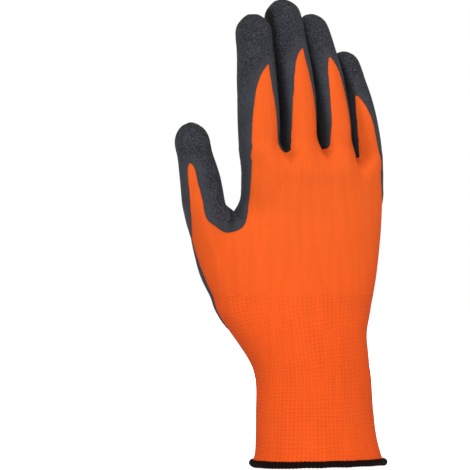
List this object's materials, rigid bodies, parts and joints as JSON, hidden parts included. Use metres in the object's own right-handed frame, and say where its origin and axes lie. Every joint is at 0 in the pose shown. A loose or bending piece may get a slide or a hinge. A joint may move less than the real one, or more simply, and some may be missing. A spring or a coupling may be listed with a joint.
{
  "type": "latex coated grip glove",
  "caption": "Right-hand knitted work glove with a latex grip coat on the palm and finger tips, an elastic knitted cuff and an overlocked hem, in the form it has on a hand.",
  "frame": {"origin": "middle of the cuff opening, in the plane of its lower edge", "axes": "+Z from the cuff to the finger tips, the back of the hand faces -Y and the palm +Y, +X points away from the thumb"},
  "size_m": [0.1149, 0.0606, 0.2501],
  "materials": {
    "knit_hand": "fine vertical rib knit, matt",
    "knit_cuff": "elastic knit with fine courses, matt",
    "latex_coat": "sandy crinkled latex, matt",
    "overlock_hem": "overlocked thread, matt"
  },
  "bodies": {
    "root": {"knit_hand": "knit_hand", "knit_cuff": "knit_cuff", "latex_coat": "latex_coat", "overlock_hem": "overlock_hem"}
  },
  "joints": []
}
